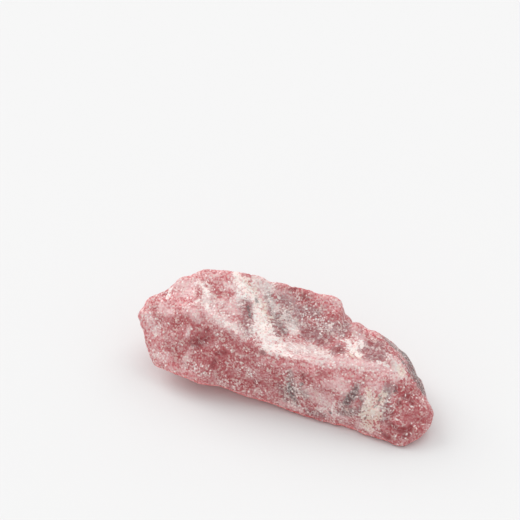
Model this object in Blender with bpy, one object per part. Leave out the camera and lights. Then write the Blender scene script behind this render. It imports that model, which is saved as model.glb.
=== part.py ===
"""A rough rhodochrosite specimen: one broken block of pink massive stone that lies on a flat fracture face.

The block is described by the corners where its cleavage and fracture faces meet, in millimetres. Groups of corners
are wrapped in their convex hulls and fused, chips of the same kind are struck off the result, its edges are worn
round, and its faces then get the swells, breaks, ledges and dents of broken stone. +X runs to the narrow nose, +Y to
the back and +Z up. The origin is under the middle of the stone, on the surface that it lies on.
"""

import math

import bmesh
import bpy
from mathutils import Vector, noise

MM = 0.001  # one millimetre in metres

# Corners of the block, by the name of the place: x, y, z in mm.
CORNERS = {
    # lower edge of the front, from the left end to the nose
    "left foot": (-24.8, -13.0, 3.2),
    "corner foot": (-16.6, -13.9, 4.0),
    "front foot left": (-9.2, -9.8, 1.6),
    "front foot middle": (3.2, -8.9, 0.7),
    "front foot right": (15.2, -6.4, 0.3),
    "nose foot": (28.2, -6.3, 0.5),
    # break across the front, between its upper slope and its steep foot
    "apron left": (4.0, -7.9, 5.5),
    "apron middle": (12.2, -6.2, 5.8),
    "apron right": (18.6, -5.0, 5.6),
    "nose front": (26.6, -5.2, 4.6),
    # left end
    "left tip": (-30.6, -8.6, 10.2),
    "left cheek": (-28.6, -9.1, 7.6),
    "knob top": (-30.2, -5.4, 12.5),
    "knob saddle": (-27.2, -2.4, 13.9),
    "dome shoulder": (-26.4, -2.0, 15.0),
    "left heel": (-27.0, 2.0, 5.5),
    # crest along the back of the top
    "dome left": (-25.5, -0.2, 16.0),
    "dome top": (-21.2, 2.0, 18.2),
    "crest left": (-15.0, 4.4, 18.7),
    "crest middle": (-6.4, 6.3, 18.2),
    "crest right": (1.6, 7.2, 17.0),
    "back corner": (5.9, 9.4, 16.7),
    # top of the shoulder, to the right of the notch in the crest
    "notch": (7.2, 7.4, 12.9),
    "shoulder back": (14.6, 8.8, 13.0),
    "side edge top": (16.4, 7.4, 12.8),
    "side edge middle": (20.1, 5.3, 11.8),
    "side edge low": (23.6, 3.9, 9.8),
    # ridge between the top and the front
    "left brow": (-25.2, -5.2, 14.2),
    "ridge left": (-18.6, -7.0, 14.9),
    "ridge dome": (-14.2, -6.4, 15.3),
    "ridge middle": (-2.6, -7.5, 12.8),
    "ridge waist": (2.1, -6.8, 12.3),
    "ridge right": (10.3, -3.4, 12.0),
    "ridge bend": (17.7, -0.3, 11.7),
    "nose corner": (22.0, 0.4, 10.0),
    "nose brow": (25.4, 1.8, 8.4),
    # nose
    "nose cheek": (28.5, 1.5, 6.4),
    "nose tip": (30.9, 1.0, 4.4),
    "nose chin": (31.6, -1.4, 2.6),
    "nose heel": (29.8, 1.8, 1.0),
    # grey side that falls from the shoulder to the right
    "side top": (17.5, 10.1, 9.7),
    "side middle": (20.2, 10.0, 7.7),
    "side low": (22.8, 7.8, 6.6),
    "side end": (26.1, 6.4, 5.0),
    # valley of the hollow in the top
    "hollow rim": (-13.4, 5.0, 19.0),
    "hollow flank": (-8.2, -2.6, 15.2),
    "hollow head": (-5.6, 4.6, 16.0),
    "hollow neck": (-3.0, 1.2, 13.6),
    "hollow floor left": (-0.2, -1.8, 12.3),
    "hollow floor right": (6.1, -0.7, 12.1),
    "hollow end": (9.4, 1.4, 12.2),
    "hollow lip": (-1.6, -6.4, 12.9),
    "above the hollow": (0.0, 2.0, 30.0),
    # back
    "back left": (-22.5, 7.4, 10.6),
    "back middle": (-9.0, 12.0, 6.0),
    "back bulge": (-1.5, 12.8, 9.4),
    "back right": (8.0, 13.4, 5.4),
    "back knee": (13.5, 12.8, 3.2),
    "back end": (20.0, 10.5, 4.5),
    "back tail": (23.5, 9.2, 2.4),
    # shelf that a slab came off, in the left half of the back
    "shelf inner left": (-25.5, 4.6, 12.2),
    "shelf inner right": (-2.4, 9.6, 10.6),
    "shelf outer left": (-26.5, 12.0, 11.0),
    "shelf outer right": (-1.0, 18.0, 8.2),
    "slab top left": (-24.5, 3.8, 15.8),
    "slab top right": (-5.6, 8.4, 15.2),
    "slab outer top left": (-25.0, 12.0, 19.0),
    "slab outer top right": (-3.0, 18.0, 18.0),
    # underside
    "sole left": (-17.0, -6.5, -0.7),
    "sole left back": (-17.0, 4.5, -0.7),
    "sole middle back": (-2.0, 9.0, -0.7),
    "sole right back": (14.0, 9.0, -0.7),
    "sole nose": (27.5, 1.0, -0.7),
    "sole front": (10.0, -6.0, -0.7),
}

# Convex lumps that make up the block.
LUMPS = {
    "body": (
        "left foot", "corner foot", "front foot left", "front foot middle", "front foot right", "apron left",
        "left heel", "dome shoulder", "dome left", "dome top", "crest left", "crest middle", "crest right",
        "back corner", "notch", "left brow", "ridge left", "ridge dome", "ridge middle", "ridge waist", "hollow end",
        "back left", "back middle", "back bulge", "back right",
        "sole left", "sole left back", "sole middle back", "sole front",
    ),
    "knob": (
        "left foot", "corner foot", "left tip", "left cheek", "knob top", "knob saddle", "dome shoulder",
        "left heel", "left brow", "ridge left", "sole left", "sole left back",
    ),
    "toe": (
        "notch", "shoulder back", "side edge top", "side edge middle", "side edge low",
        "side top", "side middle", "side low", "side end", "hollow floor right",
        "ridge waist", "ridge right", "ridge bend", "nose corner", "nose brow",
        "nose cheek", "nose tip", "nose chin", "nose heel", "nose foot", "nose front",
        "apron left", "apron middle", "apron right", "front foot middle", "front foot right",
        "back right", "back knee", "back end", "back tail",
        "sole middle back", "sole right back", "sole nose", "sole front",
    ),
}
# Convex chips that were struck off it.
CHIPS = {
    "hollow": (
        "hollow rim", "hollow flank", "hollow head", "hollow neck", "hollow floor left", "hollow floor right",
        "hollow end", "hollow lip", "ridge waist", "ridge right", "crest right", "back corner",
        "above the hollow",
    ),
    "slab": (
        "shelf inner left", "shelf inner right", "shelf outer left", "shelf outer right",
        "slab top left", "slab top right", "slab outer top left", "slab outer top right",
    ),
}

# Dents: place in mm, reach in mm and depth in mm.
DENTS = {
    "pit under the brow": ((-15.6, -9.4, 10.3), 1.4, 0.9),
    "groove right of the pit": ((-12.8, -8.8, 10.8), 2.2, 0.5),
    "groove above the left foot": ((-20.0, -11.6, 7.0), 1.4, 0.3),
    "dip in the front": ((-2.0, -9.0, 6.0), 4.0, 0.3),
    "dip in the foot of the front": ((-8.5, -10.6, 2.4), 4.0, 0.5),
    "scoop in the back": ((6.0, 13.0, 3.0), 4.5, 1.0),
    "scoop behind the nose": ((25.0, 6.5, 2.5), 3.0, 0.5),
}

# Cleavage sheets, whose broken ends make small ledges.
SHEET_NORMAL = Vector((0.64, 0.72, 0.28))
SHEET_THICKNESS = 2.1  # mm
FIRST_SHEET_Y = -5.0  # mm, the sheets fade out from here towards the front
LAST_SHEET_Y = 1.0  # mm, and are at their full height from here towards the back
LEDGE_FALL = 0.22  # share of a sheet over which its broken end falls to the next sheet

# Height of each kind of relief, and how far it is across, in mm.
SWELL_HEIGHT = 0.30
SWELL_SIZE = 7.0
LUMP_HEIGHT = 0.20
LUMP_SIZE = 2.4
BREAK_HEIGHT = 0.50
BREAK_SIZE = 6.5
SMALL_BREAK_HEIGHT = 0.24
SMALL_BREAK_SIZE = 3.2
LEDGE_HEIGHT = 0.22
PROUD = 0.18  # how far the relief would stand out past the corners on the whole

FACE_SIZE = 0.45  # mm, side of the even faces that the block is worn and broken in
WEAR_ROUNDS = 4  # smoothing rounds that wear the edges round
MOST_TRIANGLES = 9000  # left on the whole stone before its sole is cut
SOLE_SNAP = 0.08  # mm, corners this close to the sole are put on it
SHARP_ANGLE = math.radians(30)

# Finish: dusky rose, between silky and dull.
ROSE = (0.50, 0.17, 0.18, 1.0)
ROUGHNESS = 0.55


def hull(name, corners):
    """An object that wraps the named corners in their convex hull. It is a helper, so it isn't rendered."""
    shape = bmesh.new()
    for corner in corners:
        shape.verts.new(Vector(CORNERS[corner]) * MM)
    wrapped = bmesh.ops.convex_hull(shape, input=shape.verts)
    inside = [v for v in wrapped["geom_interior"] if isinstance(v, bmesh.types.BMVert)]
    bmesh.ops.delete(shape, geom=inside, context="VERTS")
    mesh = bpy.data.meshes.new(name)
    shape.to_mesh(mesh)
    shape.free()
    obj = bpy.data.objects.new(name, mesh)
    bpy.context.scene.collection.objects.link(obj)
    obj.hide_render = True
    obj.display_type = "WIRE"
    return obj


def combine(obj, other, operation):
    """Adds a live Boolean of the other object to the first one."""
    boolean = obj.modifiers.new(operation.lower() + " " + other.name, "BOOLEAN")
    boolean.operation = operation
    boolean.object = other


def settled(obj):
    """The object's mesh with its modifiers applied."""
    bpy.context.view_layer.update()
    graph = bpy.context.evaluated_depsgraph_get()
    return bpy.data.meshes.new_from_object(obj.evaluated_get(graph))


def smooth(low, high, value):
    """0 below low, 1 above high, and an even curve between them."""
    t = min(1.0, max(0.0, (value - low) / (high - low)))
    return t * t * (3 - 2 * t)


def drift(point):
    """A vector that wanders with the point, each part from -1 to 1."""
    return Vector([noise.noise(point + Vector(offset)) for offset in ((0, 0, 0), (31, 7, 4), (11, 52, 23))])


def breaks(point, size):
    """Height of flat breaks about size mm wide, which meet in soft creases, from -1 to 1."""
    where = point / size + 0.5 * drift(point / size * 1.4)
    distances, centres = noise.voronoi(where)
    near, next_near = [drift(centre * 3.7).dot(where - centre) for centre in centres[:2]]
    inside = min(1.0, (distances[1] - distances[0]) / 0.3)
    return near * (1 + inside) / 2 + next_near * (1 - inside) / 2


def ledges(point):
    """Height of the small steps where the cleavage sheets end, from 0 to 1, and only in some places."""
    sheet = point.dot(SHEET_NORMAL) / SHEET_THICKNESS + 0.9 * noise.noise(point / 6.0)
    rise = sheet - math.floor(sheet)
    step = min(rise, (1 - rise) / LEDGE_FALL)
    patches = smooth(0.05, 0.35, noise.noise(point / 9.0 + Vector((5, 1, 8))))
    return step * patches * smooth(FIRST_SHEET_Y, LAST_SHEET_Y, point.y)


def dents(point):
    """Depth of the dents at a point in mm, in mm."""
    return sum(
        depth * math.exp(-(point - Vector(place)).length_squared / reach**2)
        for place, reach, depth in DENTS.values()
    )


def relief(point):
    """How far the broken surface stands proud of the plain block at a point in mm, in mm."""
    height = SWELL_HEIGHT * noise.noise(point / SWELL_SIZE)
    height += LUMP_HEIGHT * noise.noise(point / LUMP_SIZE + Vector((7, 3, 1)))
    height += BREAK_HEIGHT * breaks(point, BREAK_SIZE)
    height += SMALL_BREAK_HEIGHT * breaks(point + Vector((3, 9, 4)), SMALL_BREAK_SIZE)
    height += LEDGE_HEIGHT * ledges(point)
    return height - dents(point) - PROUD


def worn_block():
    """The mesh of the fused and chipped block, in small even faces, with its edges worn round."""
    block, *others = [hull(name, corners) for name, corners in LUMPS.items()]
    for lump in others:
        combine(block, lump, "UNION")
    for name, corners in CHIPS.items():
        combine(block, hull(name, corners), "DIFFERENCE")
    even = block.modifiers.new("even faces", "REMESH")
    even.mode = "VOXEL"
    even.voxel_size = FACE_SIZE * MM
    wear = block.modifiers.new("wear", "SMOOTH")
    wear.factor = 0.5
    wear.iterations = WEAR_ROUNDS
    return settled(block)


def break_faces(mesh):
    """Moves every point of the mesh along its normal, by the relief there."""
    shape = bmesh.new()
    shape.from_mesh(mesh)
    shape.normal_update()
    moves = [v.normal * relief(v.co / MM) * MM for v in shape.verts]
    for v, move in zip(shape.verts, moves):
        v.co += move
    shape.to_mesh(mesh)
    shape.free()


def thin_out(obj):
    """The object's mesh with about MOST_TRIANGLES triangles."""
    triangles = sum(len(face.vertices) - 2 for face in obj.data.polygons)
    fewer = obj.modifiers.new("fewer faces", "DECIMATE")
    fewer.ratio = MOST_TRIANGLES / triangles
    mesh = settled(obj)
    obj.modifiers.clear()
    return mesh


def cut_sole(mesh):
    """Cuts the mesh off flat at z = 0, closes it there, and centres it on the Z axis."""
    shape = bmesh.new()
    shape.from_mesh(mesh)
    everything = shape.verts[:] + shape.edges[:] + shape.faces[:]
    bmesh.ops.bisect_plane(
        shape, geom=everything, dist=SOLE_SNAP * MM, plane_co=(0, 0, 0), plane_no=(0, 0, 1),
        use_snap_center=True, clear_inner=True,
    )
    bmesh.ops.holes_fill(shape, edges=[e for e in shape.edges if e.is_boundary])
    middle = Vector((0, 0, 0))
    for axis in (0, 1):
        values = [v.co[axis] for v in shape.verts]
        middle[axis] = (min(values) + max(values)) / 2
    bmesh.ops.translate(shape, verts=shape.verts, vec=-middle)
    shape.to_mesh(mesh)
    shape.free()
    return -middle


def rose_stone():
    """The material of the whole stone."""
    material = bpy.data.materials.new("rose stone")
    material.use_nodes = True
    finish = material.node_tree.nodes["Principled BSDF"]
    finish.inputs["Base Color"].default_value = ROSE
    finish.inputs["Roughness"].default_value = ROUGHNESS
    finish.inputs["Metallic"].default_value = 0.0
    return material


for old in list(bpy.data.objects):
    bpy.data.objects.remove(old)
stone = bpy.data.objects.new("rhodochrosite", worn_block())
bpy.context.scene.collection.objects.link(stone)
break_faces(stone.data)
stone.data = thin_out(stone)
shift = cut_sole(stone.data)
stone.data.shade_smooth()
stone.data.set_sharp_from_angle(angle=SHARP_ANGLE)
stone.data.materials.clear()
stone.data.materials.append(rose_stone())
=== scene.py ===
# %% [markdown]
# # A rough rhodochrosite specimen
#
# Rhodochrosite is a manganese mineral. Massive pieces of it are packed with rose-pink grains the size of
# coarse sugar, laced with white where the grains have parted, and crossed by cream veins and grey smudges.
# The plain solid of such a stone is already made: it has the right size, faces, ridge and hollow. This
# notebook gives it its grained skin, its markings and its finish, and sets up a small studio to look at it
# in.
#
# The solid comes in as a fixed frame. Its nodes stay where they are, and new pieces are made around them.

import math

import bmesh
import bpy
import numpy as np
from mathutils import Matrix, Vector, noise
from mathutils.bvhtree import BVHTree


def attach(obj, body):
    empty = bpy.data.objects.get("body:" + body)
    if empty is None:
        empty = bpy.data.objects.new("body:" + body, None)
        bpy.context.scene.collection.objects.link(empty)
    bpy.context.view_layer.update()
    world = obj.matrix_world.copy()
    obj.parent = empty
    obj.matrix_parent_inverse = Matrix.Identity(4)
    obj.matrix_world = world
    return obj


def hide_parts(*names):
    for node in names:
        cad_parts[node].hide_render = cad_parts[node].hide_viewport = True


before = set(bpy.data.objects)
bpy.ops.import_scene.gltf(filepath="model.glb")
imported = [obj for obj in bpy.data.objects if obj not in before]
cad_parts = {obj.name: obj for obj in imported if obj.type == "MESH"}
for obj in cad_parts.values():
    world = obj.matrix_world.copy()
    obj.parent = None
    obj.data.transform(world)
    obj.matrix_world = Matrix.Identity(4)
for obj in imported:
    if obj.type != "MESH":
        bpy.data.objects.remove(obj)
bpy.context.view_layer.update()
MM = 0.001  # one millimetre in metres

# %% [markdown]
# ## The camera
#
# A specimen is usually shown from about 40 degrees above the table through a long lens, which keeps its
# shape true. The camera is placed by the two angles, the distance and the point on the table that it looks
# at. A constraint could aim it, but a matrix made from three axes says the same in one step and needs no
# empty.

# %% Camera
VIEW_ROUND = math.radians(30)  # how far round from the stone's front the camera stands
VIEW_UP = math.radians(40)  # how far above the table
VIEW_DISTANCE = 500 * MM
VIEW_POINT = Vector((-24.4, 29.2, 0)) * MM
LENS = 164.8  # mm
SENSOR = 36  # mm

back = Vector((
    math.sin(VIEW_ROUND) * math.cos(VIEW_UP),
    -math.cos(VIEW_ROUND) * math.cos(VIEW_UP),
    math.sin(VIEW_UP),
))
right = Vector((math.cos(VIEW_ROUND), math.sin(VIEW_ROUND), 0))
up = back.cross(right)
eye = VIEW_POINT + back * VIEW_DISTANCE
camera = bpy.data.objects.new("camera", bpy.data.cameras.new("camera"))
camera.data.lens = LENS
camera.data.sensor_width = SENSOR
camera.data.clip_start = 10 * MM
camera.data.clip_end = 10
camera.matrix_world = Matrix.Translation(eye) @ Matrix((right, up, back)).transposed().to_4x4()
bpy.context.scene.collection.objects.link(camera)
bpy.context.scene.camera = camera
print("camera at", [round(v, 3) for v in camera.location], "m")

# %% [markdown]
# ## The studio
#
# The table is one large pale sheet, so that it runs past every edge of the view. A small stone is best lit
# in a light tent: white cloth all round, with the lamps outside it. The white world is the cloth. A lamp's
# light through the cloth comes as if from a very large softbox far away, and a sun lamp with a wide angle
# does just that: it is even over the whole table, where a softbox placed close by would be brighter on its
# own side.

# %% Table and light tent
TABLE_SIZE = 6.0  # m
TABLE_GAP = 0.02 * MM  # keeps the table clear of the stone's sole
TABLE_WHITE = (0.76, 0.76, 0.76, 1)
TENT_STRENGTH = 0.832
LAMPS = {  # degrees round from the right of the view, degrees above the table, strength in W/m2
    "lamp behind on the left": (135, 34, 1.40),
    "lamp behind on the right": (45, 55, 0.53),
}
LAMP_WIDTH = math.radians(45)  # how large the lamps look from the stone

sheet = bmesh.new()
bmesh.ops.create_grid(sheet, x_segments=1, y_segments=1, size=TABLE_SIZE / 2)
bmesh.ops.translate(sheet, verts=sheet.verts, vec=(0, 0, -TABLE_GAP))
table = bpy.data.objects.new("table", bpy.data.meshes.new("table"))
sheet.to_mesh(table.data)
sheet.free()
bpy.context.scene.collection.objects.link(table)
paper = bpy.data.materials.new("white paper")
paper.use_nodes = True
paper_shader = paper.node_tree.nodes["Principled BSDF"]
paper_shader.inputs["Base Color"].default_value = TABLE_WHITE
paper_shader.inputs["Roughness"].default_value = 0.9
paper_shader.inputs["Specular IOR Level"].default_value = 0.1
table.data.materials.append(paper)

tent = bpy.data.worlds.new("light tent")
tent.use_nodes = True
tent.node_tree.nodes["Background"].inputs["Color"].default_value = (1, 1, 1, 1)
tent.node_tree.nodes["Background"].inputs["Strength"].default_value = TENT_STRENGTH
bpy.context.scene.world = tent
for name, (degrees_round, degrees_up, strength) in LAMPS.items():
    round_by = VIEW_ROUND + math.radians(degrees_round)
    up_by = math.radians(degrees_up)
    towards = Vector((
        math.cos(round_by) * math.cos(up_by), math.sin(round_by) * math.cos(up_by), math.sin(up_by)
    ))
    lamp = bpy.data.objects.new(name, bpy.data.lights.new(name, "SUN"))
    lamp.data.energy = strength
    lamp.data.angle = LAMP_WIDTH
    lamp.rotation_euler = towards.to_track_quat("Z", "Y").to_euler()
    bpy.context.scene.collection.objects.link(lamp)
bpy.context.scene.view_settings.view_transform = "Standard"
print("studio: table", TABLE_SIZE, "m,", len(LAMPS), "lamps")

# %% [markdown]
# ## A fine copy of the stone
#
# The solid has a few thousand triangles, which is right for its main faces and far too coarse for grain.
# Its mesh is loose triangles, so a copy is merged first. Then a voxel remesh gives the copy even small
# faces: subdividing would keep the long thin triangles of the solid, and grain on those comes out streaky.
# A few rounds of smoothing take off the solid's facets without moving its ridges.
#
# A search tree of the merged copy is kept too. It finds where a ray meets the solid, which places the
# markings.

# %% Remesh a merged copy
SKIN_FACE = 0.222 * MM  # side of the skin's faces: four or more across each grain
SAME_POINT = 0.001 * MM  # corners of triangles this close together are one point
FACET_ROUNDS = 14  # smoothing rounds that take off the solid's facets

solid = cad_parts["rhodochrosite"]
skin = bmesh.new()
skin.from_mesh(solid.data)
bmesh.ops.remove_doubles(skin, verts=skin.verts, dist=SAME_POINT)
solid_tree = BVHTree.FromBMesh(skin)
merged = bpy.data.meshes.new("merged stone")
skin.to_mesh(merged)
skin.free()
stone = bpy.data.objects.new("stone", merged)
bpy.context.scene.collection.objects.link(stone)
remesh = stone.modifiers.new("even faces", "REMESH")
remesh.mode = "VOXEL"
remesh.voxel_size = SKIN_FACE
rub = stone.modifiers.new("rub off the facets", "SMOOTH")
rub.factor = 0.5
rub.iterations = FACET_ROUNDS
bpy.context.view_layer.update()
fine = bpy.data.meshes.new_from_object(stone.evaluated_get(bpy.context.evaluated_depsgraph_get()))
stone.modifiers.clear()
stone.data = fine
print("skin:", len(fine.vertices), "points,", len(fine.polygons), "faces")

# %% [markdown]
# ## Grain and chips
#
# The broken skin has three scales. Chips are flat breaks a few millimetres wide. Grains are the mineral's
# own crystals, each a small face with its own tilt, parted from the next by a groove. The finest is a rough
# tooth on every grain. Each is a height at a point in space, and every point of the skin moves out by their
# sum along its normal. A displacement modifier with a texture could do the same, but heights in code can be
# mixed by place: the sole stays flat, and a few places stand a little fuller or leaner than the solid has
# them.

# %% Heights of the broken skin
SKIN_LIFT = 0.14  # mm, which makes up for what the rubbing took off
CHIP_SIZE = 2.2  # mm
CHIP_TILT = 0.14  # mm of rise across a chip's size
CHIP_CRACK = 0.0175  # mm, depth of the crack round a chip
GRAIN_SIZE = 0.95  # mm
GRAIN_TILT = 0.09  # mm of rise across a grain's size
GRAIN_GROOVE = 0.05  # mm, depth of the groove round a grain
GRAIN_PLACE = Vector((40, 0, 0))  # mm, where the grains are taken from, so that they don't follow the chips
TOOTH_SIZE = 0.45  # mm
TOOTH_HEIGHT = 0.035  # mm
FACE_BEND = 0.35  # how far the borders of faces wander, in face sizes
FACE_BENDS = 1.3  # how many times they do so in a face's size
FACE_TURN = 5.3  # how far apart in the noise neighbouring faces take their tilts
FACE_GROOVE = 0.28  # how wide the groove between two faces is, in face sizes
SWELLS = {  # places that are a little fuller or leaner than the solid: x, y, z, radius and height, all in mm
    "end of the knob": (-29.8, -8.1, 10.4, 3.5, 0.3),
    "top of the knob": (-29.6, -5.4, 12.4, 2.5, 0.25),
    "low on the left end": (-26.7, -10.7, 6.1, 3.5, 0.35),
    "corner of the left foot": (-24.7, -11.7, 4.3, 3.0, 0.35),
    "left foot": (-14.0, -12.3, 4.4, 4.5, 0.55),
    "dome, behind": (-25.1, -0.5, 15.9, 3.0, 0.25),
    "top of the dome": (-17.5, 3.4, 18.3, 4.0, 0.2),
    "top of the vein": (-11.3, 4.9, 17.8, 3.5, 0.5),
    "crest": (-6.4, 6.2, 17.1, 3.0, 0.3),
    "right end of the crest": (3.8, 9.1, 16.3, 3.0, 0.5),
    "behind the notch": (9.8, 7.2, 12.8, 3.0, 1.0),
    "under the end of the crest": (6.8, 10.2, 12.0, 2.5, -0.5),
    "back of the nose": (20.4, 8.4, 8.5, 3.0, 0.4),
    "side of the nose": (25.0, 5.0, 6.5, 3.5, 0.35),
    "end of the nose": (29.0, 0.9, 4.8, 3.0, 0.55),
    "foot of the nose": (29.0, -3.1, 2.4, 3.0, 0.35),
    "foot of the front, right": (16.0, -6.8, 1.7, 3.5, -0.55),
}
SOLE_FADE = 0.5  # mm above the table over which the skin gets its full height


def smooth(low, high, value):
    """0 below low, 1 above high, and an even curve between them."""
    t = min(1.0, max(0.0, (value - low) / (high - low)))
    return t * t * (3 - 2 * t)


def drift(point):
    """A vector that wanders with the point, each part from -1 to 1 and read at a place of its own."""
    offsets = ((0, 0, 0), (31, 7, 4), (11, 52, 23))
    return Vector([noise.noise(point + Vector(offset)) for offset in offsets])


def crystals(point, size):
    """Height of the nearest crystal face, from about -1 to 1, and how deep in a groove it is, from 0 to 1."""
    where = point / size + FACE_BEND * drift(point / size * FACE_BENDS)
    distances, centres = noise.voronoi(where)
    tilt = drift(centres[0] * FACE_TURN).dot(where - centres[0])
    groove = 1 - smooth(0.0, FACE_GROOVE, distances[1] - distances[0])
    return tilt, groove


def skin_height(point):
    """How far the skin stands out at a point, both in mm."""
    swell = sum(
        height * (1 - smooth(0.0, radius, (point - Vector(place)).length))
        for *place, radius, height in SWELLS.values()
    )
    chip, crack = crystals(point, CHIP_SIZE)
    tilt, groove = crystals(point + GRAIN_PLACE, GRAIN_SIZE)
    chips = CHIP_TILT * chip - CHIP_CRACK * crack
    faces = GRAIN_TILT * tilt - GRAIN_GROOVE * groove
    return SKIN_LIFT + swell + chips + faces + TOOTH_HEIGHT * noise.noise(point / TOOTH_SIZE)


# %% Move the skin out to its heights
skin = bmesh.new()
skin.from_mesh(fine)
skin.normal_update()
smooth_normals = np.array([v.normal[:] for v in skin.verts])
moves = []
for v in skin.verts:
    lift = smooth(0.0, SOLE_FADE, v.co.z / MM)
    moves.append(v.normal * skin_height(v.co / MM) * lift * MM)
for v, move in zip(skin.verts, moves):
    v.co += move
    v.co.z = max(v.co.z, 0.0)
skin.to_mesh(fine)
skin.free()
fine.shade_smooth()
print("skin moved by up to", round(max(m.length for m in moves) / MM, 2), "mm")
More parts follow.
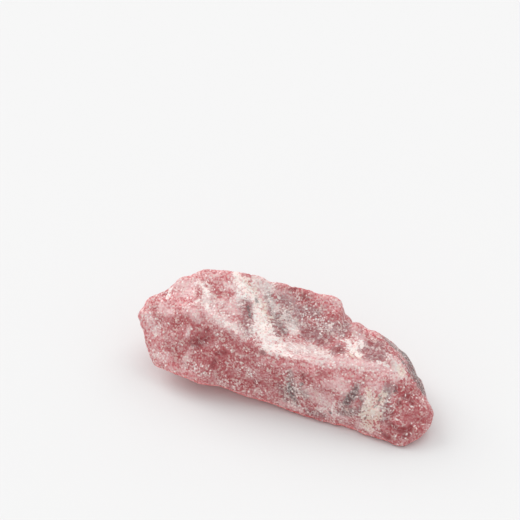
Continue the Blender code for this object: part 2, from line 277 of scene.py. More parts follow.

# %% [markdown]
# ## Where the markings lie
#
# The veins and patches of a real stone follow its own history and no formula, so they are placed one by one.
# Each mark is a path on the skin, with the mark's half width at every point. Markings are easiest to draw
# as they are seen, so a place is given as it lies in the camera's view, across and down. A ray from the
# camera through that place then finds its point on the solid, and from there on the mark belongs to the
# stone and not to the view. What a mark does to the skin is stored on the mesh's points as a plain number
# from 0 to 1, one attribute for each kind of mark, and the material reads it there. Painting a picture
# would do it too, but an attribute needs no unwrapping and takes its soft, crumbly edge from noise.

# %% Marks on the side that the camera sees: steps across and down the view, and half width in mm
MARKS = {
    "white": {
        "main vein": [
            (236, 275, 0.6), (240, 283, 1.3), (243, 290, 1.2), (250, 294, 0.9), (256, 300, 0.7),
            (258, 308, 0.9), (260, 316, 1.2), (261, 325, 1.5), (264, 334, 1.8), (269, 343, 1.9),
            (275, 349, 1.4),
        ],
        "second strand of the vein": [(266, 322, 0.7), (269, 331, 1.0), (273, 339, 1.2), (279, 345, 1.1)],
        "edge under the vein": [(281, 352, 0.5), (289, 356, 0.5), (297, 359, 0.3)],
        "patch on the shoulder": [
            (341, 340, 0.3), (347, 341, 0.4), (350, 347, 0.4), (352, 352, 0.4), (357, 355, 0.5),
            (362, 356, 0.3),
        ],
        "beside the patch": [(355, 348, 0.5), (357, 343, 0.3)],
        "right of the patch": [(361, 341, 0.3), (362, 348, 0.3)],
        "under the ridge": [(378, 362, 0.3), (388, 366, 0.3)],
        "streak under the brow": [(192, 346.5, 0.4), (190, 348.5, 0.2)],
        "crack by the knob": [(168, 298, 0.4), (170, 291, 0.4), (174, 287, 0.3)],
        "fleck on the dome": [(194, 304, 0.3), (198, 301, 0.3)],
        "lace on the dome": [(201, 283, 0.3), (203, 288, 0.5), (207, 291, 0.5), (209, 296, 0.3)],
        "second lace on the dome": [(206, 284, 0.3), (210, 286, 0.2)],
        "under the lace": [(207, 304, 0.3), (208, 308, 0.3)],
        "line round the foot of the dome": [(221, 320, 0.2), (229, 327, 0.2), (237, 332, 0.2)],
        "foot, right": [(334, 404, 0.2), (332, 412, 0.2)],
        "fleck on the nose": [(401, 399, 0.3), (403, 398, 0.2)],
    },
    "cream": {
        "in the vein": [(241, 279, 0.9), (247, 287, 1.2), (254, 295, 1.0)],
        "lower in the vein": [(259, 303, 1.0), (263, 312, 1.1), (266, 321, 1.0), (266, 330, 1.0)],
        "in the patch": [(352, 354, 0.6), (357, 356, 0.7)],
        "left strand of the nose band": [
            (368, 390, 0.7), (370, 398, 1.1), (369, 406, 1.1), (367, 414, 1.2), (369, 422, 1.0),
        ],
        "right strand of the nose band": [
            (382, 393, 0.7), (378, 403, 0.9), (374, 412, 1.3), (373, 420, 1.4), (368, 428, 1.0),
        ],
        "edge of the shoulder": [(399, 367, 0.4), (402, 373, 0.5)],
    },
    "chalk": {
        "shelf": [(282, 346, 1.4), (296, 348, 1.7), (310, 351, 1.6), (322, 354, 1.1)],
        "shelf, end": [(318, 357, 0.7), (328, 358, 0.7)],
        "ridge line": [(283, 354.5, 0.4), (297, 358.5, 0.4), (310, 360.5, 0.4), (322, 362, 0.4)],
        "round the vein": [
            (238, 277, 1.1), (243, 286, 1.4), (250, 295, 1.2), (257, 303, 1.2), (260, 315, 1.7),
            (262, 328, 1.9), (268, 340, 1.9),
        ],
        "foot of the vein": [(268, 346, 1.0), (275, 347, 1.1)],
        "right of the vein top": [(256, 283, 1.3), (266, 287, 1.6), (273, 288, 1.1)],
        "in the grey": [(270, 302, 1.0), (276, 310, 0.9)],
        "fleck on the slope": [(285, 317, 1.0), (290, 324, 1.1), (294, 331, 1.1)],
        "dome": [(203, 287, 0.8), (207, 296, 1.0), (208, 304, 1.0)],
        "dome foot": [(216, 318, 0.7), (224, 323, 0.9), (234, 328, 0.7)],
        "left of the vein": [(236, 286, 1.2), (240, 296, 1.0)],
        # partly chalk of the stone and partly a painted highlight along the edge of the shoulder
        "edge of the shoulder": [(393, 362, 0.7), (399, 370, 0.9), (402, 376, 0.7)],
        "round the patch": [(350, 348, 0.8), (358, 354, 0.8)],
        "nose band": [(368, 400, 1.2), (371, 411, 1.4), (377, 408, 1.1)],
    },
    "pale": {
        "dome, left": [(172, 288, 0.8), (180, 284, 1.1), (190, 285, 1.2), (197, 283, 1.0)],
        "dome, left, low": [(181, 295, 0.5), (187, 297, 0.4)],
        "dome, middle": [(185, 291, 0.7), (190, 292, 0.7)],
        "dome, right foot": [
            (206, 299, 1.1), (207, 309, 1.2), (215, 316, 1.4), (225, 322, 1.7), (236, 328, 1.4),
            (246, 335, 1.1),
        ],
        "between dome and vein": [(222, 304, 1.4), (232, 308, 1.7), (237, 300, 1.4)],
        "streak under the brow": [(190, 328, 0.5), (187, 336, 0.6)],
        "knob": [(146, 314, 0.8), (153, 321, 0.9)],
        "crest, right end": [(329, 300, 0.6), (337, 304, 0.6)],
        "knob, right": [(162, 308, 1.2), (170, 312, 1.1)],
        "band, top": [(372, 386, 1.1), (380, 390, 1.1), (388, 388, 1.0)],
        "nose band, middle": [(387, 395, 0.6), (390, 392, 0.6)],
        "slope": [(286, 312, 1.2), (292, 322, 1.4), (296, 331, 1.2)],
        "beside the vein": [(255, 288, 1.2), (262, 297, 1.2), (268, 306, 1.0)],
        "left of the vein": [(236, 303, 0.8), (239, 313, 0.8)],
        "under the crest": [(280, 292, 1.2), (288, 300, 1.2), (295, 306, 1.0)],
        "top of the dome": [(226, 284, 0.6), (230, 288, 0.8)],
        "top, left": [(211, 277, 0.4), (217, 276, 0.5)],
        "front of the dome": [(188, 309, 1.0), (196, 315, 1.2), (199, 321, 0.6)],
        "beside the streak": [(189, 353, 0.6), (186, 359, 0.7)],
        "left foot": [(155, 354, 0.8), (166, 358, 0.8)],
        "ridge": [
            (314, 363, 0.8), (328, 362, 1.1), (345, 362, 1.2), (358, 363, 1.3), (372, 366, 1.4),
            (386, 370, 1.7), (395, 367, 1.2),
        ],
        "left facet": [(150, 321, 0.8), (157, 331, 0.8)],
        "ridge, left": [(288, 354.5, 0.6), (300, 357, 0.7), (312, 358.8, 0.7), (326, 360, 0.7)],
        "foot of the front, right": [(345, 418, 1.0), (336, 414, 1.0), (322, 409, 1.0)],
        "right of the vein top": [(262, 283, 1.2), (270, 288, 1.2)],
        "right of the patch": [(352, 328, 1.0), (358, 336, 1.1), (362, 345, 1.0)],
        # partly pale rose of the stone and partly a painted highlight along the edge of the shoulder
        "edge of the shoulder": [(390, 357, 0.7), (398, 366, 1.0), (401, 375, 1.0), (394, 379, 0.7)],
        "foot of the front": [(283, 402, 0.8), (292, 406, 0.8), (300, 409, 0.7)],
        "front, right half": [(306, 392, 1.2), (318, 397, 1.4), (330, 402, 1.4)],
        "front, under the ridge": [(326, 384, 1.0), (338, 382, 1.2), (344, 392, 1.0)],
        "foot, right half": [(358, 424, 0.7), (370, 430, 0.7)],
    },
    "blush": {
        "top of the dome": [(188, 277, 1.0), (204, 275, 1.2), (219, 274, 1.2), (231, 276, 1.0)],
        "front of the dome": [(174, 298, 1.4), (184, 302, 1.4), (193, 300, 1.2)],
        "knob": [(146, 306, 1.2), (154, 300, 1.2), (162, 299, 1.0)],
        "under the knob": [(146, 318, 1.4), (152, 332, 1.9), (158, 345, 1.9), (166, 358, 1.7)],
        # the blush on the left end and left facet is partly the stone's own and partly painted light on faces
        # that lie in shade
        "left end": [(152, 350, 1.2), (158, 360, 1.4)],
        "left facet": [(148, 322, 1.2), (156, 330, 1.4), (160, 340, 1.2)],
        "crest, right end": [(312, 296, 1.0), (322, 300, 1.7), (332, 303, 1.9), (338, 309, 1.4)],
        "front, under the ridge": [(328, 368, 1.4), (344, 369, 1.7), (356, 367, 1.4)],
        "front, right": [(325, 378, 1.7), (338, 380, 1.7), (350, 378, 1.7)],
        "front, middle": [
            (262, 358, 1.2), (275, 362, 1.2), (288, 365, 1.2), (300, 367, 1.2), (312, 369, 1.2),
        ],
        "nose slope": [(372, 372, 1.2), (382, 376, 1.2)],
        "band, top": [(371, 381, 1.0), (379, 383, 1.0)],
        "shoulder edge": [(365, 331, 1.0), (372, 335, 1.2), (378, 340, 1.0)],
        "left foot": [(168, 366, 1.2), (182, 372, 1.2), (200, 378, 1.2)],
    },
    "deep": {
        "front of the dome": [(174, 326, 1.0), (184, 322, 1.0), (192, 324, 1.0), (199, 325, 0.8)],
        "under the lace": [(202, 315, 0.7), (211, 317, 0.7)],
        # deep rose of the stone, with painted shade in the pit under the brow
        "deep rose and painted shade round the pit": [
            (193, 341, 1.7), (200, 339, 1.9), (208, 336, 1.7), (218, 334, 1.4), (229, 338, 1.2),
        ],
        "front, left half": [(200, 353, 1.9), (210, 358, 2.2), (219, 362, 2.2), (225, 354, 1.7)],
        "front, low on the left": [(211, 368, 1.7), (226, 373, 1.4), (232, 377, 1.2)],
        "left facet": [(168, 346, 1.1), (175, 350, 1.2), (180, 355, 1.2), (185, 346, 1.2), (188, 341, 1.0)],
        "front, middle": [(234, 348, 1.4), (247, 350, 1.4), (258, 353, 1.2)],
        "front, under it": [(238, 359, 1.0), (250, 361, 1.0)],
        "front, low in the middle": [
            (240, 380, 1.2), (250, 385, 1.2), (258, 382, 1.4), (270, 385, 1.1), (280, 380, 1.0),
        ],
        "under the ridge": [(303, 376, 1.1), (307, 381, 1.0)],
        "top, left of the slope": [(246, 275, 0.5), (254, 280, 0.4)],
        "crest": [(294, 291, 1.0), (301, 295, 1.2), (308, 301, 1.4)],
        "crest, middle": [(308, 302, 1.0), (315, 305, 1.0)],
        "crest, right": [(327, 314, 0.8), (336, 316, 1.0), (342, 315, 0.8)],
        "foot of the slope": [(317, 338, 1.7), (326, 340, 1.7)],
        "right of the lace": [(215, 290, 0.8), (222, 294, 1.1), (228, 295, 0.8)],
        "between shelf and patch": [(334, 348, 0.9), (341, 350, 1.1)],
        "shoulder": [(366, 344, 1.7), (374, 345, 1.9), (382, 342, 1.4)],
        "shoulder, middle": [(366, 348, 1.7), (374, 343, 1.9), (382, 347, 1.7)],
        "shoulder, back": [(368, 337, 1.0), (378, 341, 1.0)],
        "shoulder, low": [(369, 353, 1.4), (379, 354, 1.7)],
        "nose, top": [(397, 391, 1.0), (404, 394, 1.4), (410, 400, 1.7)],
        "nose": [(403, 408, 1.9), (411, 415, 2.2), (419, 419, 1.9), (414, 430, 1.9)],
        "nose, foot": [(402, 424, 1.9), (397, 434, 1.7), (388, 434, 1.2)],
        # deep rose of the stone, with painted shade where the nose turns under
        "nose, low": [(392, 430, 1.7), (402, 432, 1.7), (412, 428, 1.4)],
        "nose, beside the band": [(392, 413, 1.2), (386, 420, 1.2)],
        "nose, edge": [(402, 381, 1.0), (410, 388, 1.2), (416, 396, 1.2)],
        "spots by the ridge": [(321, 374, 0.8), (326, 376, 0.8)],
    },
    "mauve": {
        "left of the vein": [
            (246, 303, 1.4), (248, 310, 1.6), (249, 317, 1.7), (248, 326, 1.6), (249, 332, 1.1),
        ],
        "right of the vein": [
            (268, 298, 0.8), (273, 308, 1.1), (277, 317, 1.2), (280, 325, 1.2), (284, 334, 1.0),
        ],
        "low by the vein": [(270, 322, 0.8), (275, 331, 1.0), (280, 337, 0.8)],
        "upper slope": [(282, 300, 1.4), (292, 307, 1.7), (301, 314, 1.7)],
        "slope": [(300, 326, 1.7), (312, 328, 1.9), (324, 329, 1.9), (336, 328, 1.7), (345, 330, 1.2)],
        "slope, middle": [(306, 312, 1.4), (318, 313, 1.7)],
        "foot of the slope": [(305, 333, 1.4), (314, 336, 1.7), (323, 340, 1.6)],
        "above the patch": [(341, 334, 1.2), (346, 326, 1.2)],
        "between shelf and patch": [(333, 353, 0.8), (338, 348, 1.0), (341, 352, 0.7)],
        "shoulder": [(366, 348, 1.7), (376, 348, 1.9), (385, 353, 1.4)],
        "shoulder, low": [(370, 356, 1.2), (380, 358, 1.2)],
        "front, right": [(357, 386, 1.1), (356, 393, 1.4), (350, 400, 1.3), (343, 406, 1.1)],
        "under it": [(339, 411, 1.0), (349, 413, 1.0), (358, 411, 1.0)],
        "left of the grey spot": [(281, 387, 1.1), (285, 393, 1.2), (287, 399, 0.9)],
        "front, foot": [(308, 411, 0.7), (315, 413, 0.8), (324, 415, 0.7)],
        "nose, beside the band": [(386, 409, 1.2), (384, 418, 1.2)],
        "in the band": [(388, 393, 0.9), (385, 402, 0.9)],
        "band, top": [(388, 386, 0.8), (394, 388, 0.8)],
        # painted shade: mauve that darkens the side strip over its own grey
        "side": [(390, 344, 1.4), (402, 354, 1.7), (410, 367, 1.7), (417, 381, 1.7), (423, 392, 1.4)],
    },
    "grey": {
        "right of the vein": [
            (268, 292, 0.7), (270, 300, 1.1), (273, 311, 1.2), (278, 321, 1.3), (284, 330, 1.2),
        ],
        "slope": [(284, 314, 1.2), (289, 324, 1.3)],
        "front, middle": [
            (290, 372, 0.6), (290, 378, 0.8), (291, 386, 1.3), (293, 395, 1.2), (296, 402, 1.0),
        ],
        "right of the spot": [(299, 391, 1.2), (306, 395, 1.1)],
        "side": [
            (385, 339, 1.2), (394, 347, 1.4), (404, 356, 1.4), (411, 366, 1.4), (417, 378, 1.4),
            (422, 388, 1.2),
        ],
        "band": [(387, 391, 0.9), (384, 399, 1.0), (382, 406, 0.8)],
        "band, left": [(362, 399, 0.9), (364, 408, 1.1), (365, 417, 1.1)],
        "under the dark spot": [(343, 411, 0.9), (352, 412, 0.9)],
    },
    "slate": {
        "beside the vein": [(255.5, 299, 0.3), (257, 302, 0.3)],
        "left of the vein": [(248, 307, 0.3), (249, 312, 0.3), (250, 317, 0.3)],
        "front, middle": [(289, 383, 0.3), (291, 388, 0.6), (291.5, 394, 0.5), (294, 399, 0.3)],
        "by the spot": [(302, 384, 0.3), (301, 386, 0.2)],
        "front, right": [(356, 389, 0.7), (354, 394, 0.9), (349, 400, 0.6), (345, 403, 0.4)],
        "side": [(403, 362, 0.3), (408, 370, 0.4), (412, 377, 0.4), (416, 384, 0.4), (421, 392, 0.3)],
        "side, top": [(391, 346, 0.3), (394, 348, 0.4)],
        "side, all along": [(398, 355, 0.2), (404, 364, 0.3)],
        # painted shade over the grey of the side strip
        "side, middle": [(402, 354, 1.1), (408, 364, 1.3), (414, 376, 1.3), (420, 388, 1.2)],
        "nose band": [(378, 396, 0.2), (381, 397, 0.2)],
        "nose band, middle": [(378, 404, 0.2), (374, 408, 0.2)],
        "nose band, low": [(366, 417, 0.2), (365, 419, 0.2)],
        "beside the band": [(381, 397, 0.2), (378, 402, 0.2)],
        "nose": [(395, 391, 0.3), (397, 392, 0.2)],
        "front, foot": [(330, 411, 0.2), (331, 413, 0.2)],
    },
    "frost": {
        "dome": [(200, 284, 1.0), (206, 291, 1.0), (208, 300, 1.0), (208, 308, 1.0), (214, 313, 0.8)],
        "dome foot": [(218, 316, 0.8), (228, 325, 1.0), (242, 335, 1.0), (252, 339, 0.8)],
        "left of the vein": [(234, 279, 1.0), (238, 289, 1.2), (240, 299, 1.2)],
        "top of the vein": [(241, 281, 1.0), (246, 289, 1.0)],
        "right of the vein": [(256, 283, 1.2), (266, 287, 1.4), (274, 284, 1.2)],
        "beside the vein": [(262, 295, 1.0), (268, 303, 1.0)],
        "slope": [(284, 310, 1.0), (290, 320, 1.1), (294, 330, 1.1)],
        "middle of the slope": [(304, 315, 1.2), (318, 320, 1.2), (328, 327, 1.0)],
        "shelf": [(284, 345, 1.2), (300, 348, 1.3), (317, 352, 1.3), (327, 355, 1.0)],
        "ridge": [(330, 364, 0.7), (350, 367, 0.7), (370, 370, 0.7)],
        "above the patch": [(345, 336, 0.7), (355, 340, 1.0)],
        "shoulder": [(390, 357, 0.7), (395, 361, 0.7)],
        "grey spot on the front": [(286, 371, 1.0), (294, 382, 1.2), (297, 396, 1.1)],
        "foot of the front": [(289, 403, 1.0), (300, 408, 1.0)],
        "foot, right": [(326, 407, 1.2), (336, 409, 1.2), (333, 415, 1.0)],
        "nose band": [(366, 398, 1.0), (371, 409, 1.2), (377, 401, 1.0)],
        "nose, left": [(391, 402, 1.2), (392, 412, 1.1), (388, 405, 1.0)],
        "left foot": [(155, 350, 1.0), (165, 357, 1.0)],
        "under the streak": [(192, 365, 1.0), (204, 371, 1.0)],
        "front, low": [(222, 382, 1.0), (236, 385, 1.0)],
        "front, middle": [(240, 368, 1.2), (250, 372, 1.2)],
        "crest": [(291, 294, 1.0), (300, 300, 1.0)],
        "between vein and slope": [(262, 283, 1.2), (270, 290, 1.2), (276, 300, 1.2)],
        "knob": [(152, 322, 1.4), (158, 334, 1.4)],
    },
    "dark": {
        # painted shade in the pit under the brow and just above it
        "pit under the brow": [(194, 342, 0.9), (199, 341, 1.2), (204, 339, 1.1), (208, 338, 0.7)],
        "painted shade above the pit": [(206, 330, 0.4), (209, 329, 0.3)],
        "front, left": [(224, 352, 0.5), (216, 354, 0.4)],
        "front, low": [(216, 360, 0.5), (213, 366, 0.5)],
        "nose": [(403, 398, 0.5), (408, 396, 0.5), (412, 404, 0.4)],
        "nose, left": [(399, 403, 0.6), (397, 405, 0.4)],
        "nose, foot": [(388, 437, 0.4), (381, 431, 0.3)],
        # painted shade where the nose turns under
        "nose, low": [(391, 425, 0.6), (400, 430, 0.6), (410, 428, 0.6)],
        "nose, lower": [(403, 437, 0.4), (412, 433, 0.4)],
        "beside the band": [(392, 414, 0.4), (389, 416, 0.3)],
        "foot of the slope": [(321, 342, 0.5), (325, 338, 0.4)],
        "slope": [(303, 332, 0.4), (308, 331, 0.4)],
        "shoulder": [(370, 343, 0.4), (376, 346, 0.4)],
        "between shelf and patch": [(337, 350, 0.6), (342, 350, 0.5)],
        "crest": [(291, 289, 0.4), (296, 289, 0.4)],
        "crest, right": [(304, 297, 0.6), (308, 300, 0.4)],
        "under the ridge": [(304, 375, 0.4), (303, 378, 0.3)],
        "front, middle": [(256, 382, 0.5), (259, 382, 0.4)],
        "front, top": [(262, 352, 0.4), (265, 354, 0.3)],
    },
}

# %% [markdown]
# The hidden sides get marks of their own: the veins run on over the crest and down the back. No ray of the
# camera gets there, so these are given by their points on the stone.

# %% Marks on the hidden sides: x, y, z and half width, all in mm
HIDDEN_MARKS = {
    "white": {
        "main vein, down the back": [
            (-15.0, 3.9, 18.4, 0.6), (-13.6, 7.0, 15.0, 1.0), (-12.0, 10.2, 10.5, 1.4),
            (-10.5, 11.4, 5.0, 1.0), (-9.5, 9.6, 0.0, 1.3),
        ],
        "vein in the right back": [(17.0, 11.0, 6.0, 0.6), (13.0, 12.6, 4.0, 0.5), (9.0, 12.6, 1.5, 0.7)],
    },
    "cream": {
        "beside the vein": [(-12.4, 10.4, 9.5, 1.0), (-11.6, 11.4, 5.5, 1.2), (-10.5, 10.5, 1.0, 1.0)],
    },
    "pale": {
        "back, left": [(-24.0, 4.0, 12.0, 2.5), (-19.0, 8.0, 8.0, 2.0)],
        "back, right": [(4.0, 12.6, 9.0, 2.4), (10.0, 12.0, 6.5, 1.8)],
    },
    "blush": {
        "left end, behind": [(-28.0, -1.0, 10.0, 2.0), (-25.5, 3.0, 7.0, 2.0)],
        "back, under the shoulder": [(10.0, 11.4, 9.5, 1.6), (14.0, 11.0, 8.5, 1.4)],
    },
    "deep": {
        "back": [(-2.0, 12.0, 6.0, 3.0), (6.0, 12.6, 4.0, 2.5)],
        "behind the crest": [(-20.0, 5.0, 14.5, 1.6), (-8.0, 8.6, 13.5, 1.8), (1.0, 10.0, 13.0, 1.6)],
    },
    "mauve": {
        "shelf in the back": [(-20.0, 7.6, 11.8, 1.2), (-16.0, 8.6, 11.4, 1.4)],
        "back, low": [(-4.0, 12.4, 3.0, 1.6), (2.0, 12.4, 2.4, 1.4)],
    },
    "grey": {
        "back, under the shelf": [(-20.0, 9.0, 6.0, 1.4), (-13.0, 11.0, 5.0, 1.8), (-6.0, 12.0, 3.0, 1.4)],
        "shelf in the back": [(-14.0, 9.0, 11.3, 1.2), (-8.0, 10.4, 10.6, 1.6)],
        "side, towards the back": [(16.0, 11.0, 8.6, 1.4), (21.0, 9.6, 5.6, 1.6), (26.5, 5.8, 3.0, 1.4)],
    },
    "frost": {
        "back, by the vein": [(-9.6, 10.8, 8.0, 1.6), (-8.0, 11.8, 4.0, 1.4)],
        "back, left": [(-24.0, 5.0, 8.0, 2.0), (-20.0, 8.0, 4.0, 2.0)],
    },
}

# %% [markdown]
# A mark's edge isn't clean. How far it reaches, how soft it ends and how much it wanders depend on what it
# is: the white of a vein is crisp and broken, and a blush of deeper rose has hardly an edge at all.

# %% How the marks end
SHARP = (1.6, 1.0, 1.0, 0.55)  # reach, soft edge, how far it wanders and how far it frays, in half widths
SOFT = (1.9, 1.9, 0.6, 0.2)
SMUDGED = (1.9, 1.5, 0.8, 0.3)
EDGES = {
    "white": SHARP, "cream": SHARP, "slate": SMUDGED, "dark": SMUDGED, "chalk": SOFT, "pale": SOFT,
    "blush": SOFT, "deep": SOFT, "mauve": SOFT, "grey": SOFT, "frost": SOFT,
}
FARTHEST = 3.2  # half widths, past which no mark reaches
EDGE_WANDER = (  # size in mm, and how far a mark's edge wanders there, in half widths
    (3.4, 0.45),
    (1.3, 0.45),
    (0.55, 0.40),
)
STRAND_LENGTH = 3.0  # mm
STRAND_WIDTH = 0.45  # mm
STRAND_DRIFT = 5.0  # mm

# %% [markdown]
# Every point of the skin is measured against every stretch of every path. That is millions of small sums,
# so they are done on whole arrays of points at a time.

# %% Find the marks on the stone and measure them
VIEW_STEPS = 520  # across the view, and down it
LENS_STEPS = LENS / SENSOR * VIEW_STEPS  # how far in front of the eye a step is as long as on the sensor


def on_stone(across, down):
    """The point of the solid, in mm, that the camera sees at a place in its view."""
    ray = (across - VIEW_STEPS / 2) * right + (VIEW_STEPS / 2 - down) * up - LENS_STEPS * back
    seen = solid_tree.ray_cast(eye, ray)[0]
    if seen is None:  # just past the stone's edge: the nearest point will do
        seen = solid_tree.find_nearest(eye + ray.normalized() * VIEW_DISTANCE)[0]
    return [v / MM for v in seen]


def measure(points, path):
    """Each point's distance from the path in half widths and in mm, and how far along the path it is."""
    nearest = np.full(len(points), np.inf)
    away = np.zeros(len(points))
    along = np.zeros(len(points))
    walked = 0.0
    for start, end in zip(path, path[1:]):
        start, end = np.array(start), np.array(end)
        run = end[:3] - start[:3]
        length = np.linalg.norm(run)
        share = np.clip((points - start[:3]) @ run / length**2, 0, 1)
        distance = np.linalg.norm(points - start[:3] - share[:, None] * run, axis=1)
        widths = distance / (start[3] + share * (end[3] - start[3]))
        nearer = widths < nearest
        nearest[nearer] = widths[nearer]
        away[nearer] = distance[nearer]
        along[nearer] = walked + share[nearer] * length
        walked += length
    return nearest, away, along


def strands(points, away, along):
    """Noise stretched along a path, from -1 to 1, which frays a mark into strands."""
    return np.array([
        noise.noise(Vector((a / STRAND_LENGTH, d / STRAND_WIDTH, sum(p) / STRAND_DRIFT)))
        for p, d, a in zip(points, away, along)
    ])


# %% Store the marks on the mesh
places = np.array([v.co[:] for v in fine.vertices]) / MM
wander = np.zeros(len(places))
for size, depth in EDGE_WANDER:
    wander += depth * np.array([noise.noise(Vector(p) / size) for p in places])
for kind, drawn in MARKS.items():
    paths = [[(*on_stone(across, down), half) for across, down, half in path] for path in drawn.values()]
    paths += HIDDEN_MARKS.get(kind, {}).values()
    reach, softness, wandering, fraying = EDGES[kind]
    amount = np.zeros(len(places))
    for path in paths:
        nearest, away, along = measure(places, path)
        close = nearest < FARTHEST
        frayed = nearest[close] + wandering * wander[close]
        frayed += fraying * strands(places[close], away[close], along[close])
        t = np.clip((reach - frayed) / softness, 0, 1)
        amount[close] = np.maximum(amount[close], t * t * (3 - 2 * t))
    fine.attributes.new(kind, "FLOAT", "POINT").data.foreach_set("value", amount)
    print(kind, "covers", round(100 * amount.mean()), "% of the skin")

# %% [markdown]
# Light that enters the stone from behind comes out red low on its front. That glow is painted into the
# colour: a fine red line where the foot of the front turns under, so the points of the smooth skin that begin
# to face down there get an attribute of their own. Round the ends and the back the painted line is faint.

# %% The painted red glow at the foot of the front
RIM_FACING = (0.0, -0.20)  # the normal's rise where the rim starts, and where it is full
RIM_HEIGHT = (7.0, 5.0)  # mm above the table, where the rim ends and where it is full
RIM_FRONT = (0.2, -0.4)  # the normal's run to the back, where the rim is faint, and where it is full
RIM_FAINT = 0.2  # what is left of the rim where it is faint


def rises(values, start, full):
    """How far each value has come from start, 0, to full, 1."""
    return np.clip((start - values) / (start - full), 0, 1)


turned = rises(smooth_normals[:, 2], *RIM_FACING)
low = rises(places[:, 2], *RIM_HEIGHT)
front = rises(smooth_normals[:, 1], *RIM_FRONT)
painted_glow = turned * low * (RIM_FAINT + (1 - RIM_FAINT) * front)
fine.attributes.new("painted_glow", "FLOAT", "POINT").data.foreach_set("value", painted_glow)
print("rim covers", round(100 * painted_glow.mean()), "% of the skin")

# %% [markdown]
# ## Node helpers
#
# A shader tree in code gets long when every node takes five lines to make, set and link. These few helpers
# make a node, set it and link it in one line, and are named for what they give.

# %% Helpers for shader trees
def srgb(red, green, blue):
    """A colour given by the values on a screen, as the linear values that a shader needs."""
    return tuple(((c / 255 + 0.055) / 1.055) ** 2.4 for c in (red, green, blue)) + (1.0,)


def add(tree, kind, inputs=(), **settings):
    """A new node with its settings, and with each named or numbered input linked or set."""
    made = tree.nodes.new(kind)
    for name, value in settings.items():
        setattr(made, name, value)
    for name, value in dict(inputs).items():
        if isinstance(value, bpy.types.NodeSocket):
            tree.links.new(value, made.inputs[name])
        else:
            made.inputs[name].default_value = value
    return made


def maths(tree, operation, *values):
    """A Math node's result."""
    return add(tree, "ShaderNodeMath", dict(enumerate(values)), operation=operation).outputs[0]


def times(tree, value, *others):
    """The product of several values."""
    for other in others:
        value = maths(tree, "MULTIPLY", value, other)
    return value


def ramp(tree, value, low, high, to_low=0.0, to_high=1.0):
    """The value taken smoothly from low and high to to_low and to_high."""
    sizes = {"Value": value, "From Min": low, "From Max": high, "To Min": to_low, "To Max": to_high}
    return add(tree, "ShaderNodeMapRange", sizes, interpolation_type="SMOOTHSTEP").outputs["Result"]


def blend(tree, amount, under, over, way="MIX"):
    """Two colours mixed: all under at amount 0, all over at amount 1."""
    sockets = {0: amount, 6: under, 7: over}
    return add(tree, "ShaderNodeMix", sockets, data_type="RGBA", blend_type=way).outputs[2]


def stored_mark(tree, kind):
    """The amount of one kind of mark, as it is stored on the skin."""
    return add(tree, "ShaderNodeAttribute", attribute_name=kind).outputs["Fac"]


# %% [markdown]
# Five patterns carry the whole finish. Each takes its size in millimetres, because the place that it is
# given is in millimetres too.

# %% Patterns in the stone
GRAIN_BLUR = 0.5  # how far one grain's value runs into the next: 0 not at all, 1 all the way
DOT_EDGE = (0.15, 0.50)  # a dot's full middle and its outer edge, in the distance between dots


def cloud(tree, place, size, detail=2.0, roughness=0.5):
    """Noise with clouds about size mm across, from 0 to 1, mostly near 0.5."""
    inputs = {"Vector": place, "Scale": 1 / size, "Detail": detail, "Roughness": roughness}
    return add(tree, "ShaderNodeTexNoise", inputs).outputs["Fac"]


def astray(tree, place, size):
    """The place, moved by up to half a millimetre each way in clouds about size mm across."""
    colour = add(tree, "ShaderNodeTexNoise", {"Vector": place, "Scale": 1 / size}).outputs["Color"]
    halves = {0: colour, 1: (0.5, 0.5, 0.5)}
    move = add(tree, "ShaderNodeVectorMath", halves, operation="SUBTRACT").outputs[0]
    return add(tree, "ShaderNodeVectorMath", {0: place, 1: move}, operation="ADD").outputs[0]


def grains(tree, place, size):
    """A random value for each grain about size mm across, from 0 to 1, that runs a little into the next."""
    inputs = {"Vector": place, "Scale": 1 / size, "Smoothness": GRAIN_BLUR}
    cells = add(tree, "ShaderNodeTexVoronoi", inputs, feature="SMOOTH_F1")
    return add(tree, "ShaderNodeSeparateColor", {0: cells.outputs["Color"]}).outputs[0]


def seams(tree, place, size, width):
    """Lines where grains about size mm across meet: 1 on a line and 0 past its width, in grain sizes."""
    inputs = {"Vector": place, "Scale": 1 / size}
    cells = add(tree, "ShaderNodeTexVoronoi", inputs, feature="DISTANCE_TO_EDGE")
    return ramp(tree, cells.outputs["Distance"], 0.0, width, 1.0, 0.0)


def dots(tree, place, size, share):
    """Round dots about size mm apart in this share of the places: 1 in a dot's middle and 0 outside it."""
    cells = add(tree, "ShaderNodeTexVoronoi", {"Vector": place, "Scale": 1 / size})
    lot = add(tree, "ShaderNodeSeparateColor", {0: cells.outputs["Color"]}).outputs[0]
    drawn = ramp(tree, lot, 0.9 - share, 1.0 - share)
    return times(tree, drawn, ramp(tree, cells.outputs["Distance"], *DOT_EDGE, 1.0, 0.0))


# %% [markdown]
# ## The finish
#
# The colour is built up in layers, all of them read in the stone's own space, so that they stay put from
# any side. Under all lies the rose ground, in clouds of lighter and deeper rose. The markings come next.
# Over both goes what makes this stone look like pressed sugar: painted shade in the pits between the grains,
# a fine white crumb, a broken net of white lines where the grains have parted, and a few painted glints. An
# image painted by hand would need an unwrapped stone and would blur up close; noise in three dimensions has
# no seams and stays sharp.

# %% Colours of the stone
ROSE = srgb(197, 134, 136)
DEEP_ROSE = srgb(174, 88, 92)
DARK_ROSE = srgb(138, 46, 52)
BLUSH = srgb(214, 145, 148)
PALE_ROSE = srgb(223, 188, 188)
CHALK = srgb(225, 216, 212)
CREAM = srgb(228, 210, 194)
MILK = srgb(248, 240, 235)
WHITE = srgb(241, 229, 225)
MAUVE = srgb(147, 110, 112)
GREY = srgb(153, 136, 133)
SLATE = srgb(84, 72, 72)
SPECK = srgb(112, 78, 76)
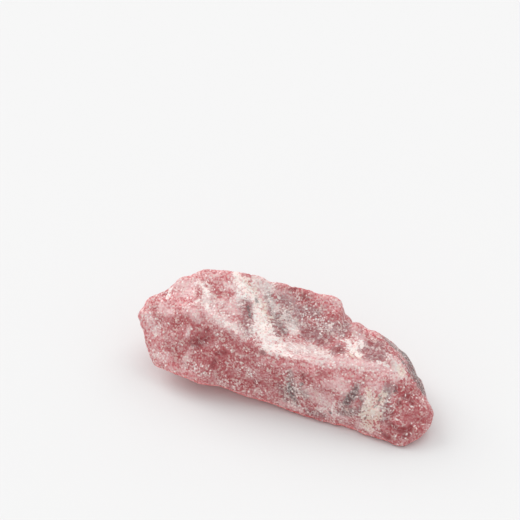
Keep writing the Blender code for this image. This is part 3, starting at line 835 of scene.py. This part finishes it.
# painted glow: red that stands in for light coming through the thin foot
PAINTED_GLOW_RED = srgb(240, 110, 112)
# painted shade for the pits between the grains, multiplied into the colour
PAINTED_PIT_SHADE = srgb(236, 180, 184)

# %% [markdown]
# The soft tints start wherever their mark has any amount at all, and the crumbly marks only where it is
# well under way. The crumb is a noise of the size of sugar. Added to a mark's amount, it makes the mark end
# in grains and not in a smooth fade.

# %% The ground and its markings
DEEP_SIZE = 6.0  # mm
DEEP_CLOUDS = (0.35, 0.65, 0.15, 0.65)  # the noise where they start and are full, and how much shows there
PALE_SIZE = 2.6  # mm
PALE_CLOUDS = (0.48, 0.72, 0.0, 0.22)
TINTS = {  # colour, how much of the crumb shows in it, and how much it covers at most
    "blush": (BLUSH, 0.3, 0.75),
    "deep": (DEEP_ROSE, 0.5, 0.90),
    "pale": (PALE_ROSE, 0.3, 0.75),
    "mauve": (MAUVE, 0.5, 0.75),
    "grey": (GREY, 0.5, 0.70),
    "chalk": (CHALK, 0.5, 0.65),
}
TINT_START = 0.0
CRUMBLY_MARKS = {  # the same
    "cream": (CREAM, 2.0, 0.75),
    "white": (MILK, 1.0, 0.74),
    "slate": (SLATE, 1.2, 0.72),
    "dark": (DARK_ROSE, 1.0, 0.80),
    # this entry is a painted glow of light through the thin foot
    "painted_glow": (PAINTED_GLOW_RED, 1.0, 0.65),
}
CRUMBLY_START = 0.15


def rose_ground(tree, place):
    """Rose in clouds of deeper and paler rose."""
    deeper = ramp(tree, cloud(tree, place, DEEP_SIZE, 3.0), *DEEP_CLOUDS)
    paler = ramp(tree, cloud(tree, place, PALE_SIZE, 3.0), *PALE_CLOUDS)
    return blend(tree, paler, blend(tree, deeper, ROSE, DEEP_ROSE), PALE_ROSE)


def marked(tree, colour, crumb, kinds, start):
    """The colour with the marks of these kinds over it, each from where its amount is more than start."""
    for kind, (over, crumbliness, most) in kinds.items():
        amount = maths(tree, "ADD", stored_mark(tree, kind), times(tree, crumb, crumbliness))
        colour = blend(tree, ramp(tree, amount, start, 1.0, 0.0, most), colour, over)
    return colour


# %% [markdown]
# Between the grains lie small pits, where the rose looks deeper. Shading alone would show them too weakly on
# grains this small, so painted shade is multiplied into the colour there. The grey and the cream hold tiny
# dark specks of another mineral, which are scattered as round dots.

# %% Painted pit shade and dark specks
# painted shade in the pits: where it lies in the sugar, and how much of it is left out on pale or chalky
# stone
PIT_SUGAR = (0.50, 0.28)  # the sugar where a pit starts, and where it is full
PALE_FILL = 0.55  # how much of the pits is filled where the stone is pale or chalky
SPECK_APART = 0.55  # mm
SPECK_SHARE = 0.30
SPECK_STRENGTH = 0.8
CREAM_SPECKS = 0.6  # specks in the cream, against those in the grey


def with_painted_pit_shade(tree, sugar, colour):
    """The colour with painted shade in the pits between the grains."""
    pale = maths(tree, "MAXIMUM", stored_mark(tree, "pale"), stored_mark(tree, "chalk"))
    open_share = maths(tree, "SUBTRACT", 1.0, times(tree, pale, PALE_FILL))
    return blend(tree, times(tree, ramp(tree, sugar, *PIT_SUGAR), open_share), colour, PAINTED_PIT_SHADE, "MULTIPLY")


def specked(tree, place, colour):
    """The colour with small dark specks in the grey and in the cream."""
    dull = times(tree, stored_mark(tree, "cream"), CREAM_SPECKS)
    dull = maths(tree, "MAXIMUM", stored_mark(tree, "grey"), dull)
    specks = times(tree, dots(tree, place, SPECK_APART, SPECK_SHARE), dull, SPECK_STRENGTH)
    return blend(tree, specks, colour, SPECK)


# %% [markdown]
# The white crumb lies in patches. Frost is a mark that has no colour of its own: it only calls up more of
# the crumb and more of the net, as along the ridge and beside the vein, where the stone has been knocked
# about.

# %% The sugary white
PATCH_SIZE = 1.9  # mm
CRUMB_PATCHES = (0.35, 0.65, 0.15, 0.34)  # the noise where they start and are full, and how much shows there
NET_PATCHES = (0.40, 0.70, 0.08, 0.34)
FROST_CRUMB = 0.28  # how much more crumb there is in the frost
LESS_CRUMB = {"deep": 0.10, "dark": 0.25}  # how much less there is in these marks
CRUMB_SUGAR = (0.48, 0.74)  # the sugar where the crumb starts, and where it is full
CRUMB_STRENGTH = 0.85
CRUMB_DOTS = (0.52, 0.45)  # mm apart, and share
CRUMB_DOT_STRENGTH = 1.8
NET_SIZE = 0.95  # mm
NET_WIDTH = 0.14  # in net sizes
NET_GAP_SIZE = 0.7  # mm
NET_GAPS = (0.40, 0.60)  # the noise where a gap ends, and where the net is whole
NET_DRIFT = 1.0  # mm
FROST_NET = 0.35  # how much more of the net there is in the frost
# painted glints: a few near-white dots that stand in for sparkle off the grain faces
PAINTED_GLINT_DOTS = (0.6, 0.10)  # mm apart, and share
PAINTED_GLINT_STRENGTH = 0.9


def crumb_amount(tree, patches, frost):
    """How much white crumb there is."""
    amount = maths(tree, "ADD", ramp(tree, patches, *CRUMB_PATCHES), times(tree, frost, FROST_CRUMB))
    for kind, less in LESS_CRUMB.items():
        amount = maths(tree, "SUBTRACT", amount, times(tree, stored_mark(tree, kind), less))
    return maths(tree, "MAXIMUM", amount, 0.0)


def sugared(tree, place, sugar, colour):
    """The colour with a fine white crumb, a broken white net and a few painted glints."""
    frost = stored_mark(tree, "frost")
    patches = cloud(tree, place, PATCH_SIZE)
    amount = crumb_amount(tree, patches, frost)
    crumb = times(tree, ramp(tree, sugar, *CRUMB_SUGAR), amount, CRUMB_STRENGTH)
    colour = blend(tree, crumb, colour, WHITE)
    crumb_dots = times(tree, dots(tree, place, *CRUMB_DOTS), amount, CRUMB_DOT_STRENGTH)
    colour = blend(tree, crumb_dots, colour, WHITE)
    bent = astray(tree, place, NET_DRIFT)
    broken = ramp(tree, cloud(tree, place, NET_GAP_SIZE, 1.0), *NET_GAPS)
    shown = maths(tree, "ADD", ramp(tree, patches, *NET_PATCHES), times(tree, frost, FROST_NET))
    net = times(tree, seams(tree, bent, NET_SIZE, NET_WIDTH), broken, shown)
    colour = blend(tree, net, colour, WHITE)
    # painted glints
    return blend(tree, times(tree, dots(tree, bent, *PAINTED_GLINT_DOTS), PAINTED_GLINT_STRENGTH), colour, WHITE)


# %% [markdown]
# The sugar itself is half grains and half cloud, because grains alone look like tiles. It also gives the
# skin its finest bumps and its uneven gloss: the tops of grains shine and the pits are dull. A little light
# goes into the stone and comes out again, redder, which takes the hard edge off every grain.

# %% The whole material
SUGAR_GRAIN = 0.34  # mm
SUGAR_CLOUD = 0.36  # mm
BUNCH_SIZE = 1.2  # mm, over which the crumb of the marks bunches up
BUNCH_SHARE = 0.8
CRUMB_STEEPNESS = 1.2  # how steeply a mark's edge breaks into crumb
GLOSS_SUGAR = (0.30, 0.70)  # the sugar in a pit, and on top of a grain
GLOSS_ROUGHNESS = (0.72, 0.42)  # the roughness there
LIGHT_INSIDE = 0.34  # share of the light that goes into the stone
LIGHT_REACH = 1.2 * MM
LIGHT_COLOURS = (1.0, 0.32, 0.28)  # how far red, green and blue go, against that reach
STONE_IOR = 1.6
BUMP_STRENGTH = 0.25
BUMP_HEIGHT = 0.10 * MM


def grained_rose():
    """Rose-pink granular rhodochrosite with cream veins, grey smudges and a sugary white crumb."""
    material = bpy.data.materials.new("grained rose")
    material.use_nodes = True
    tree = material.node_tree
    shader = tree.nodes["Principled BSDF"]
    metres = add(tree, "ShaderNodeTexCoord").outputs["Object"]
    place = add(tree, "ShaderNodeMapping", {"Vector": metres, "Scale": (1 / MM,) * 3}).outputs["Vector"]
    half_grains = times(tree, grains(tree, place, SUGAR_GRAIN), 0.5)
    sugar = maths(tree, "ADD", half_grains, times(tree, cloud(tree, place, SUGAR_CLOUD), 0.5))
    bunches = maths(tree, "SUBTRACT", cloud(tree, place, BUNCH_SIZE, 2.0, 0.6), 0.5)
    crumb = maths(tree, "ADD", maths(tree, "SUBTRACT", sugar, 0.5), times(tree, bunches, BUNCH_SHARE))
    crumb = times(tree, crumb, CRUMB_STEEPNESS)
    colour = rose_ground(tree, place)
    colour = marked(tree, colour, crumb, TINTS, TINT_START)
    colour = marked(tree, colour, crumb, CRUMBLY_MARKS, CRUMBLY_START)
    # painted shade in the pits between the grains
    colour = with_painted_pit_shade(tree, sugar, colour)
    colour = specked(tree, place, colour)
    colour = sugared(tree, place, sugar, colour)
    tree.links.new(colour, shader.inputs["Base Color"])
    tree.links.new(ramp(tree, sugar, *GLOSS_SUGAR, *GLOSS_ROUGHNESS), shader.inputs["Roughness"])
    shader.inputs["Subsurface Weight"].default_value = LIGHT_INSIDE
    shader.inputs["Subsurface Radius"].default_value = LIGHT_COLOURS
    shader.inputs["Subsurface Scale"].default_value = LIGHT_REACH
    shader.inputs["IOR"].default_value = STONE_IOR
    bumps = {"Height": sugar, "Strength": BUMP_STRENGTH, "Distance": BUMP_HEIGHT}
    bump = add(tree, "ShaderNodeBump", bumps)
    tree.links.new(bump.outputs["Normal"], shader.inputs["Normal"])
    return material


stone.data.materials.clear()
stone.data.materials.append(grained_rose())
print("finish:", len(stone.data.materials[0].node_tree.nodes), "nodes")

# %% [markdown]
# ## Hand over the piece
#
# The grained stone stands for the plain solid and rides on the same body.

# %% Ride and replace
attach(stone, "root")
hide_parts("rhodochrosite")
